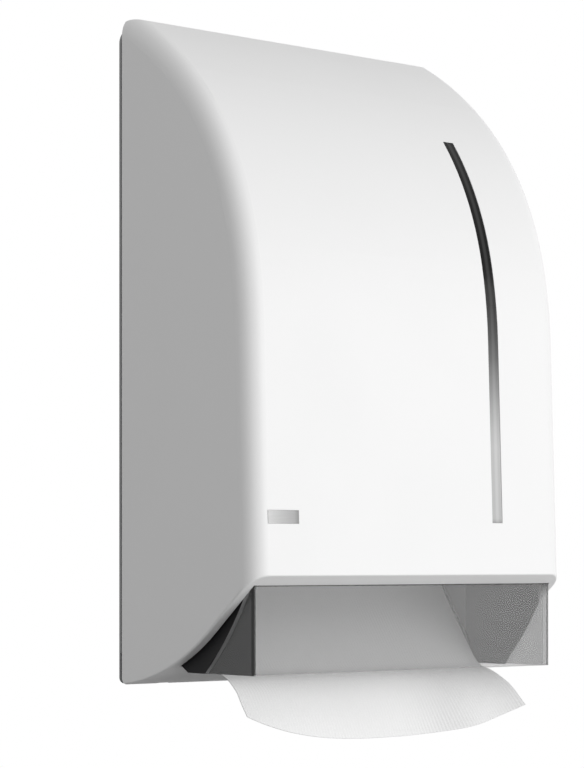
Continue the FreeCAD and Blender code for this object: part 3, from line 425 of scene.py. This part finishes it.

# %% [markdown]
# The level window is a narrow smoked pane. What lies behind it is painted into its
# colour: above the stack the dark inside as painted shade, and lower down the lit towels
# that press against it as a painted light grey. The change follows the height, so a ramp
# on Z gives it. Along its long sides the pane is painted a little darker, as painted shade
# beside the walls of its slot, so a second ramp gives the sides' tone and a mask on X
# chooses between the two.

# %% Level pane
def level_pane():
    low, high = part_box("level_window")
    middle = (low[0] + high[0]) / 2
    half_width = 0.005
    material, tree, shader = new_material("level_pane", (0.1, 0.1, 0.1), IOR=1.49,
                                          Specular_IOR_Level=0.12)
    # Painted by height: dark painted shade above the stack, the lit towels below as painted light
    # grey.
    painted_towels_and_shade = [(0.0, 0.25), (0.02, 0.55), (0.20, 0.57), (0.25, 0.51), (0.30, 0.42),
                     (0.35, 0.31), (0.40, 0.21), (0.424, 0.155), (0.476, 0.095), (0.525, 0.06),
                     (0.56, 0.035), (1.0, 0.035)]
    side_share, side_loss, darkest = 0.92, 0.03, 0.004
    # The long sides take the same colours a little darker, as painted shade beside the slot's
    # walls.
    painted_side_shade = [(place, max(darkest, grey * side_share - side_loss))
                   for place, grey in painted_towels_and_shade]
    height = along_axis(tree, "Z", low[2], high[2])
    across = ramp(tree, along_axis(tree, "X", middle - half_width, middle + half_width),
                  (0.30, 0.0), (0.45, 1.0), (0.60, 1.0), (0.75, 0.0))
    pane = add_node(tree, "ShaderNodeMix", data_type="RGBA")
    tree.links.new(across, pane.inputs["Factor"])
    tree.links.new(ramp(tree, height, *painted_side_shade), pane.inputs["A"])
    tree.links.new(ramp(tree, height, *painted_towels_and_shade), pane.inputs["B"])
    tree.links.new(pane.outputs["Result"], shader.inputs["Base Color"])
    wiped = use_group(tree, fine_lines, Stretch=(300.0, 300.0, 20.0))
    link_range(tree, wiped.outputs["Lines"], shader.inputs["Roughness"], 0.10, 0.22)
    return material

pane_material = level_pane()

# %% [markdown]
# Towel paper is matt and a little fibrous, with rows of tiny embossed dots that run
# along the sheet and hold its two plies together. The dots follow the sheet round its
# bends, so they are read from the sheet's own UV map, which is laid out in metres.

# %% Towel paper
dot_pitch, row_pitch = 0.0026, 0.00156
dot_share, fibre_share = 0.5, 0.12
emboss_depth = 0.00006
paper_white = (0.985, 0.985, 0.985)

def towel_paper():
    material, tree, shader = new_material("towel_paper", paper_white, Roughness=0.92,
                                          Sheen_Weight=1.0)
    along_sheet = add_node(tree, "ShaderNodeUVMap", uv_map="sheet")
    axes = add_node(tree, "ShaderNodeSeparateXYZ")
    tree.links.new(along_sheet.outputs["UV"], axes.inputs[0])
    waves = []
    for axis, pitch in (("X", dot_pitch), ("Y", row_pitch)):
        turns = add_node(tree, "ShaderNodeMath", operation="MULTIPLY")
        turns.inputs[1].default_value = 2 * math.pi / pitch
        wave = add_node(tree, "ShaderNodeMath", operation="SINE")
        tree.links.new(axes.outputs[axis], turns.inputs[0])
        tree.links.new(turns.outputs[0], wave.inputs[0])
        waves.append(wave.outputs[0])
    dots = add_node(tree, "ShaderNodeMath", operation="MULTIPLY")
    ribs = add_node(tree, "ShaderNodeMath", operation="MULTIPLY_ADD")
    tree.links.new(waves[0], dots.inputs[0])
    tree.links.new(waves[1], dots.inputs[1])
    tree.links.new(dots.outputs[0], ribs.inputs[0])
    ribs.inputs[1].default_value = dot_share
    tree.links.new(waves[0], ribs.inputs[2])
    surface = use_group(tree, moulded_grain, Grain_Scale=1500.0, Patch_Scale=120.0)
    fibres = add_node(tree, "ShaderNodeMath", operation="MULTIPLY_ADD")
    fibres.inputs[1].default_value = fibre_share
    tree.links.new(surface.outputs["Grain"], fibres.inputs[0])
    tree.links.new(ribs.outputs[0], fibres.inputs[2])
    link_bump(tree, fibres.outputs[0], shader, emboss_depth)
    tone = use_group(tree, settled_dust, Colour=(*paper_white, 1), Unevenness=0.02, Dust=0.0)
    tree.links.new(surface.outputs["Patches"], tone.inputs["Mask"])
    tree.links.new(tone.outputs["Colour"], shader.inputs["Base Color"])
    return material

finishes["towel_paper"] = towel_paper()

# %% [markdown]
# Most nodes already have their right shape, so they stay and only take their finish,
# by the material slot that the record names for them.

# %% Finish every node
for node, piece in nodes.items():
    piece.data.materials.clear()
    piece.data.materials.append(finishes[slot_of_node[node]])

# %% [markdown]
# Machined solids have razor-sharp edges, and moulded or turned ones never do. An edge
# that is rounded by a few tenths of a millimetre catches a thin line of light, and
# that line is what makes a piece look real. So each plain node is copied, its loose
# triangles are merged and joined into whole faces, and a bevel modifier rounds the
# edges. Weighted normals keep the large faces flat, so that only the rounding shades
# from one face to the next. The copy then stands in for the node.

# %% Helpers for modelling
weld_distance, flat_within = 0.000002, math.radians(0.5)
smooth_within = math.radians(35)

def only(piece):
    """Selects this piece alone, in object mode."""
    bpy.ops.object.select_all(action="DESELECT")
    piece.select_set(True)
    bpy.context.view_layer.objects.active = piece

def merged_copy(node, name):
    piece = bpy.data.objects.new(name, nodes[node].data.copy())
    bpy.context.scene.collection.objects.link(piece)
    only(piece)
    bpy.ops.mesh.customdata_custom_splitnormals_clear()
    bpy.ops.object.mode_set(mode="EDIT")
    bpy.ops.mesh.select_all(action="SELECT")
    bpy.ops.mesh.remove_doubles(threshold=weld_distance)
    bpy.ops.mesh.dissolve_limited(angle_limit=flat_within)
    bpy.ops.object.mode_set(mode="OBJECT")
    return piece

def apply_modifiers(piece):
    only(piece)
    for modifier in list(piece.modifiers):
        bpy.ops.object.modifier_apply(modifier=modifier.name)

def round_edges(piece, width, segments=2, sharper_than=40):
    bevel = piece.modifiers.new("rounded_edges", "BEVEL")
    bevel.width = width
    bevel.segments = segments
    bevel.limit_method = "ANGLE"
    bevel.angle_limit = math.radians(sharper_than)
    apply_modifiers(piece)
    bpy.ops.object.shade_smooth_by_angle(angle=smooth_within)
    flat_faces = piece.modifiers.new("flat_faces", "WEIGHTED_NORMAL")
    flat_faces.keep_sharp = True
    apply_modifiers(piece)

def stand_in(piece, node):
    """This piece takes the node's place and body: it joins the body, and the node is hidden."""
    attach(piece, body_of_node[node])
    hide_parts(node)

# %% [markdown]
# The list gives each plain piece the radius of its edges. The chute's two sides reach a
# little lower than its ramp, so their lowest corners are moved down first.

# %% Rounded copies of the plain nodes
edge_radius = {
    "back_plate": 0.0006, "magazine_floor": 0.0006, "towel_chute": 0.0005,
    "right_side_guide": 0.0005, "left_side_guide": 0.0005,
    "right_hinge_bracket": 0.0005, "left_hinge_bracket": 0.0005,
    "right_hinge_pin": 0.0004, "left_hinge_pin": 0.0004,
    "right_hinge_bush": 0.0002, "left_hinge_bush": 0.0002,
    "lock_housing": 0.0005, "latch_lever": 0.0004, "latch_pin": 0.0003,
    "keeper_bar": 0.0003, "right_buffer": 0.0008, "left_buffer": 0.0008,
    "badge_plate": 0.0003,
}
ramp_half_width, side_drop, at_bottom = 0.125, 0.0022, 0.0005

def lower_chute_sides(piece):
    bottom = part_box("towel_chute")[0][2]
    for corner in piece.data.vertices:
        if abs(corner.co.x) > ramp_half_width and corner.co.z < bottom + at_bottom:
            corner.co.z -= side_drop

for node, radius in edge_radius.items():
    piece = merged_copy(node, node + "_rounded")
    if node == "towel_chute":
        lower_chute_sides(piece)
    round_edges(piece, radius)
    stand_in(piece, node)
print("rounded copies:", len(edge_radius))

# %% [markdown]
# The small screws have pan heads with a cross recess. The recess is the same on each,
# so its cutter is made once: two crossing bars that narrow towards the bottom. Each
# screw is separated from its node, and a boolean modifier takes the cutter out of its
# head. The head is the thicker end, which is found by comparing the ends.

# %% Screws with a cross recess
recess_reach, recess_width, recess_depth = 1.2, 0.26, 0.9     # shares of the head's radius
recess_taper = 0.6
end_share = 0.2                      # of the screw's length, to find its thicker end

def cross_cutter(reach, width, depth):
    """A cross that points down from the origin, with its top above it."""
    bars = []
    for size in ((reach, width, depth), (width, reach, depth)):
        bpy.ops.mesh.primitive_cube_add(size=1, location=(0, 0, 0))
        bar = bpy.context.active_object
        bar.scale = size
        bpy.ops.object.transform_apply(location=True, rotation=True, scale=True)
        for corner in bar.data.vertices:
            if corner.co.z < 0:
                corner.co.x *= recess_taper
                corner.co.y *= recess_taper
        bars.append(bar)
    join = bars[0].modifiers.new("join", "BOOLEAN")
    join.operation = "UNION"
    join.object = bars[1]
    apply_modifiers(bars[0])
    bpy.data.objects.remove(bars[1])
    return bars[0]

def head_place(screw):
    """The middle of the head's face and the way that it looks."""
    corners = [corner.co for corner in screw.data.vertices]
    low = Vector([min(c[i] for c in corners) for i in range(3)])
    high = Vector([max(c[i] for c in corners) for i in range(3)])
    size = high - low
    axis = max(range(3), key=lambda i: size[i])
    middle = (low + high) / 2
    reach = [0.0, 0.0]
    for end, limit in enumerate((low[axis], high[axis])):
        for corner in corners:
            if abs(corner[axis] - limit) < size[axis] * end_share:
                aside = corner - middle
                aside[axis] = 0
                reach[end] = max(reach[end], aside.length)
    end = 0 if reach[0] > reach[1] else 1
    looks = Vector((0, 0, 0))
    looks[axis] = (-1, 1)[end]
    middle[axis] = (low[axis], high[axis])[end]
    return middle, looks, reach[end]

def recessed_screws(node):
    piece = merged_copy(node, node + "_recessed")
    bpy.ops.mesh.separate(type="LOOSE")
    screws = list(bpy.context.selected_objects)
    for screw in screws:
        middle, looks, radius = head_place(screw)
        cutter = cross_cutter(radius * recess_reach, radius * recess_width,
                              radius * recess_depth)
        cutter.rotation_euler = looks.to_track_quat("Z", "Y").to_euler()
        cutter.location = middle
        recess = screw.modifiers.new("recess", "BOOLEAN")
        recess.operation = "DIFFERENCE"
        recess.object = cutter
        bpy.context.view_layer.update()
        apply_modifiers(screw)
        bpy.data.objects.remove(cutter)
    bpy.ops.object.select_all(action="DESELECT")
    for screw in screws:
        screw.select_set(True)
    bpy.context.view_layer.objects.active = piece
    bpy.ops.object.join()
    round_edges(piece, 0.00025, sharper_than=50)
    stand_in(piece, node)
    return len(screws)

for node in ("window_screws", "bracket_screws", "guide_screws", "floor_screws", "lock_screws"):
    print(node, recessed_screws(node))

# %% [markdown]
# A thumb has to push the release button down without slipping, so its top has three
# grooves across it. Each is cut by a thin rod that lies in the surface.

# %% Release button
def grooved_button():
    low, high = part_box("release_button")
    piece = merged_copy("release_button", "release_button_grooved")
    grooves, groove_radius, rod_length = 3, 0.0004, 0.010
    for index in range(grooves):
        depth = low[1] + (high[1] - low[1]) * (index + 1) / (grooves + 1)
        bpy.ops.mesh.primitive_cylinder_add(vertices=16, radius=groove_radius,
                                            depth=rod_length, location=(0, depth, high[2]),
                                            rotation=(0, math.radians(90), 0))
        rod = bpy.context.active_object
        cut = piece.modifiers.new("groove", "BOOLEAN")
        cut.operation = "DIFFERENCE"
        cut.object = rod
        apply_modifiers(piece)
        bpy.data.objects.remove(rod)
    round_edges(piece, 0.0003)
    stand_in(piece, "release_button")

grooved_button()

# %% [markdown]
# The lower window is one clear panel that is bent round the mouth: a front and two
# wings. The two upright corners have a small rounding, as a moulded panel has, so
# their edges are picked by place and bevelled in edit mode. A corner is as thick as the
# plastic is wide there, so it and the front few millimetres of each wing get the denser
# material. Bisects give that strip and the band behind it their edges on the flat wing.
# The cut edges, which look down or back, are frosted. The band at the right gets the
# same lighter material as painted light, for the light that is seen through the plastic's
# side there.

# %% Lower window
def select_edges(piece, belongs):
    """Leaves the piece in edit mode, with the edges selected whose two ends pass the test."""
    only(piece)
    bpy.ops.object.mode_set(mode="EDIT")
    bpy.ops.mesh.select_mode(type="EDGE")
    bpy.ops.mesh.select_all(action="DESELECT")
    bpy.ops.object.mode_set(mode="OBJECT")
    ends = piece.data.vertices
    for edge in piece.data.edges:
        edge.select = all(belongs(ends[index].co) for index in edge.vertices)
    bpy.ops.object.mode_set(mode="EDIT")

panel_thickness = 0.003
outer_radius, inner_radius = 0.0012, 0.0005
dense_slot, frosted_and_painted_light_slot = 1, 2

def lower_window():
    low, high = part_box("lower_window")
    near, past_strip = 0.0001, 0.001
    strip_rear, painted_light_band_rear = low[1] + panel_thickness, low[1] + 2 * panel_thickness
    piece = merged_copy("lower_window", "lower_window_panel")
    for inset, radius, steps in ((0.0, outer_radius, 3), (panel_thickness, inner_radius, 2)):
        select_edges(piece, lambda place: abs(abs(place.x) - (high[0] - inset)) < near
                     and abs(place.y - (low[1] + inset)) < near)
        bpy.ops.mesh.bevel(offset=radius, segments=steps, affect="EDGES")
        bpy.ops.object.mode_set(mode="OBJECT")
    bpy.ops.object.mode_set(mode="EDIT")
    for rear in (strip_rear, painted_light_band_rear):
        bpy.ops.mesh.select_all(action="SELECT")
        bpy.ops.mesh.bisect(plane_co=(0, rear, 0), plane_no=(0, 1, 0))
    bpy.ops.object.mode_set(mode="OBJECT")
    round_edges(piece, inner_radius, sharper_than=50)
    piece.data.materials.append(smoked_edge_and_painted_shadow)
    piece.data.materials.append(sawn_edge_and_painted_light)
    for face in piece.data.polygons:
        place, looks = face.center, face.normal
        outer_side = (abs(place.x) > high[0] - outer_radius - near
                      and abs(looks.x) > 0.3)
        cut = looks.z < -0.4 or (looks.y > 0.4 and place.y > strip_rear + past_strip)
        if outer_side and place.y < strip_rear:
            face.material_index = dense_slot
        # The band at the right is painted light in the frosted colour.
        elif cut or (outer_side and place.x > 0 and place.y < painted_light_band_rear):
            face.material_index = frosted_and_painted_light_slot
    stand_in(piece, "lower_window")
    return piece

window = lower_window()
print("window faces:", len(window.data.polygons))

# %% [markdown]
# A thin dark rib of the panel stands against the casing's lip, in the gap between them.
# It is painted shade: the dark line of the lip's shadow along the top of the window.

# %% Painted shadow along the panel's top
def painted_shadow_rib():
    low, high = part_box("lower_window")
    rib_top, rib_size = 0.0709 - wall_screw_height, 0.0005
    bpy.ops.object.select_all(action="DESELECT")
    bpy.ops.mesh.primitive_cube_add(
        size=1, location=(0, low[1] - rib_size / 2, rib_top - rib_size / 2))
    rib = bpy.context.active_object
    rib.name = "painted_shadow_rib"
    rib.scale = (high[0] - low[0] - panel_thickness, rib_size, rib_size)
    bpy.ops.object.transform_apply(location=True, rotation=True, scale=True)
    round_edges(rib, 0.0001)
    # The dark rib is painted shade: the shadow under the casing's lip.
    rib.data.materials.append(smoked_edge_and_painted_shadow)
    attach(rib, body_of_node["lower_window"])

painted_shadow_rib()

# %% [markdown]
# The level pane is curved like the casing and sits in a flanged slot. Its copy keeps
# the flange, and its own finish paints how full the dispenser is: the lit towels and the
# shade above them are painted light and painted shade.

# %% Level window
pane = merged_copy("level_window", "level_window_pane")
round_edges(pane, 0.00025)
pane.data.materials.clear()
pane.data.materials.append(pane_material)
stand_in(pane, "level_window")

# %% [markdown]
# A sheet of paper is a surface that is bent but not stretched. It is built here as a
# grid: the rows follow a route in the side view, given as depth in front of the wall
# and height, and the columns run along the width. Cutting the corners of the route
# again and again (Chaikin's method) turns the few points into a smooth curve that
# stays inside them. The UV map keeps each point's place on the flat sheet, in metres.

# %% Helpers for sheets
def smooth_route(points, rounds=3):
    for _ in range(rounds):
        cut = [points[0]]
        for start, end in zip(points, points[1:]):
            cut.append(start.lerp(end, 0.25))
            cut.append(start.lerp(end, 0.75))
        points = cut + [points[-1]]
    return points

def even_steps(points, count):
    """Resamples a route to count + 1 points at even distances. Also gives its length."""
    lengths = [0.0]
    for start, end in zip(points, points[1:]):
        lengths.append(lengths[-1] + (end - start).length)
    placed, index = [], 0
    for step in range(count + 1):
        wanted = lengths[-1] * step / count
        while index < len(lengths) - 2 and lengths[index + 1] < wanted:
            index += 1
        run = lengths[index + 1] - lengths[index]
        placed.append(points[index].lerp(points[index + 1], (wanted - lengths[index]) / run))
    return placed, lengths[-1]

def sheet_grid(name, rows_at, columns, rows, width):
    """rows_at(share) gives the rows + 1 points of (depth, height) at a share of the width."""
    mesh = bpy.data.meshes.new(name)
    build = bmesh.new()
    flat_map = build.loops.layers.uv.new("sheet")
    grid, flat = [], {}
    for column in range(columns + 1):
        share = column / columns - 0.5
        points, length = rows_at(share)
        line = []
        for row, (depth, height) in enumerate(points):
            corner = build.verts.new((share * width, -depth, height))
            flat[corner] = (share * width, length * row / rows)
            line.append(corner)
        grid.append(line)
    for left, right in zip(grid, grid[1:]):
        for a, b, c, d in zip(left, right, right[1:], left[1:]):
            face = build.faces.new((a, b, c, d))
            for loop in face.loops:
                loop[flat_map].uv = flat[loop.vert]
    build.normal_update()
    build.to_mesh(mesh)
    build.free()
    piece = bpy.data.objects.new(name, mesh)
    bpy.context.scene.collection.objects.link(piece)
    return piece

def thicken(piece, thickness):
    solidify = piece.modifiers.new("thickness", "SOLIDIFY")
    solidify.thickness = thickness
    solidify.offset = 0.0
    apply_modifiers(piece)
    bpy.ops.object.shade_smooth_by_angle(angle=math.radians(50))

# %% [markdown]
# The leading towel lies under the stack, turns down through the slot in the magazine's
# floor, slides down the black ramp, bends forward over its end and hangs out. Its
# corners hang less far than its middle. The free end has one soft fold, waves a little
# and runs a little to the right.

# %% Leading towel
towel_width, towel_length = 0.245, 0.230
paper_thickness = 0.0005

def side_points(*places):
    """Points of (depth, height above the casing's bottom) in mm, in the frame's metres."""
    return [Vector((depth / 1000, height / 1000 - wall_screw_height)) for depth, height in places]

inside_route = side_points((119.7, 84.8), (39.2, 84.8), (36.2, 81.0), (83.3, 12.95))
middle_flap = side_points((88.7, 8.5), (97.7, 3.5), (108.7, -14.5), (120.2, -37.5))
left_flap = side_points((88.7, 9.0), (96.2, 6.0), (105.2, -9.5), (112.4, -18.9))
right_flap = side_points((88.7, 8.5), (100.0, 5.6), (117.0, -5.0), (131.2, -18.6))
left_curl, right_curl = 3.0, 2.2     # the higher, the nearer to the corner the edge rises
wave_height, wave_size, wave_slice = 0.0022, 18.0, 3.7
fold_share, fold_width, fold_height = 0.29, 0.10, 0.009
drift, drift_height = 0.0055, 0.016  # to the right, and over which height below the ramp
columns, rows = 70, 110
free_from = 0.76                     # of the length; the rest of the towel hangs free

def towel_rows(share):
    corner_flap, curl_power = (left_flap, left_curl) if share < 0 else (right_flap, right_curl)
    curl = (abs(share) / 0.5) ** curl_power
    route = list(inside_route)
    route += [middle.lerp(corner, curl) for middle, corner in zip(middle_flap, corner_flap)]
    points, length = even_steps(smooth_route(route), rows)
    waved = []
    for row, point in enumerate(points):
        free = max(0.0, (row / rows - free_from) / (1 - free_from))
        lift = wave_height * noise.noise(Vector((share * towel_width * wave_size,
                                                 point.y * wave_size, wave_slice)))
        lift += fold_height * math.exp(-((share - fold_share) / fold_width) ** 2)
        waved.append(point + Vector((lift * free, 0)))
    return waved, length

leading_towel = sheet_grid("leading_towel_sheet", towel_rows, columns, rows, towel_width)
for corner in leading_towel.data.vertices:
    below_ramp = (inside_route[-1].y - corner.co.z) / drift_height
    corner.co.x += drift * min(1.0, max(0.0, below_ramp))
thicken(leading_towel, paper_thickness)
leading_towel.data.materials.append(finishes["towel_paper"])
stand_in(leading_towel, "leading_towel")
print("length along the middle:", round(towel_rows(0.0)[1], 3))

# %% [markdown]
# In the stack each towel is folded once and holds a half of its neighbour in its fold,
# so that drawing one pulls out the next. That shows as folds that lie at the back and
# at the front in turn. One folded towel is a route that runs out, turns and runs back
# one step higher; a loop makes the whole stack from it.

# %% Towel stack
folded_count, paper_share = 44, 0.62  # how much of each step of height is paper
fold_steps, fold_columns = 6, 6
end_gap, end_spread, width_gap = 0.0006, 0.0012, 0.001

def folded_route(bottom, fold_reach, turn, loose):
    """Out at the bottom, round the fold and back at the top, as (depth, height)."""
    inward = math.copysign(fold_reach, loose - turn)
    end = loose - math.copysign(end_gap + end_spread * noise.random(), loose - turn)
    route = [Vector((end, bottom)), Vector((turn + inward, bottom))]
    for part in range(1, fold_steps):
        angle = math.pi * part / fold_steps
        route.append(Vector((turn + inward * (1 - math.sin(angle)),
                             bottom + fold_reach * (1 - math.cos(angle)))))
    top = bottom + 2 * fold_reach
    return route + [Vector((turn + inward, top)), Vector((end, top))]

def folded_stack():
    low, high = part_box("towel_stack")
    rear, front = -high[1], -low[1]
    step = (high[2] - low[2]) / (2 * folded_count + 2)
    towels = []
    for index in range(folded_count):
        turn, loose = (rear, front) if index % 2 else (front, rear)
        route = folded_route(low[2] + step * (2 * index + 0.5), 1.5 * step, turn, loose)
        towel = sheet_grid("folded_towel", lambda share: (route, towel_length), fold_columns,
                           len(route) - 1, high[0] - low[0] - width_gap)
        thicken(towel, step * paper_share)
        towels.append(towel)
    bpy.ops.object.select_all(action="DESELECT")
    for towel in towels:
        towel.select_set(True)
    bpy.context.view_layer.objects.active = towels[0]
    bpy.ops.object.join()
    stack = towels[0]
    stack.name = "towel_stack_folded"
    stack.data.materials.append(finishes["towel_paper"])
    stand_in(stack, "towel_stack")
    return stack

noise.seed_set(11)
stack = folded_stack()
print("stack faces:", len(stack.data.polygons))
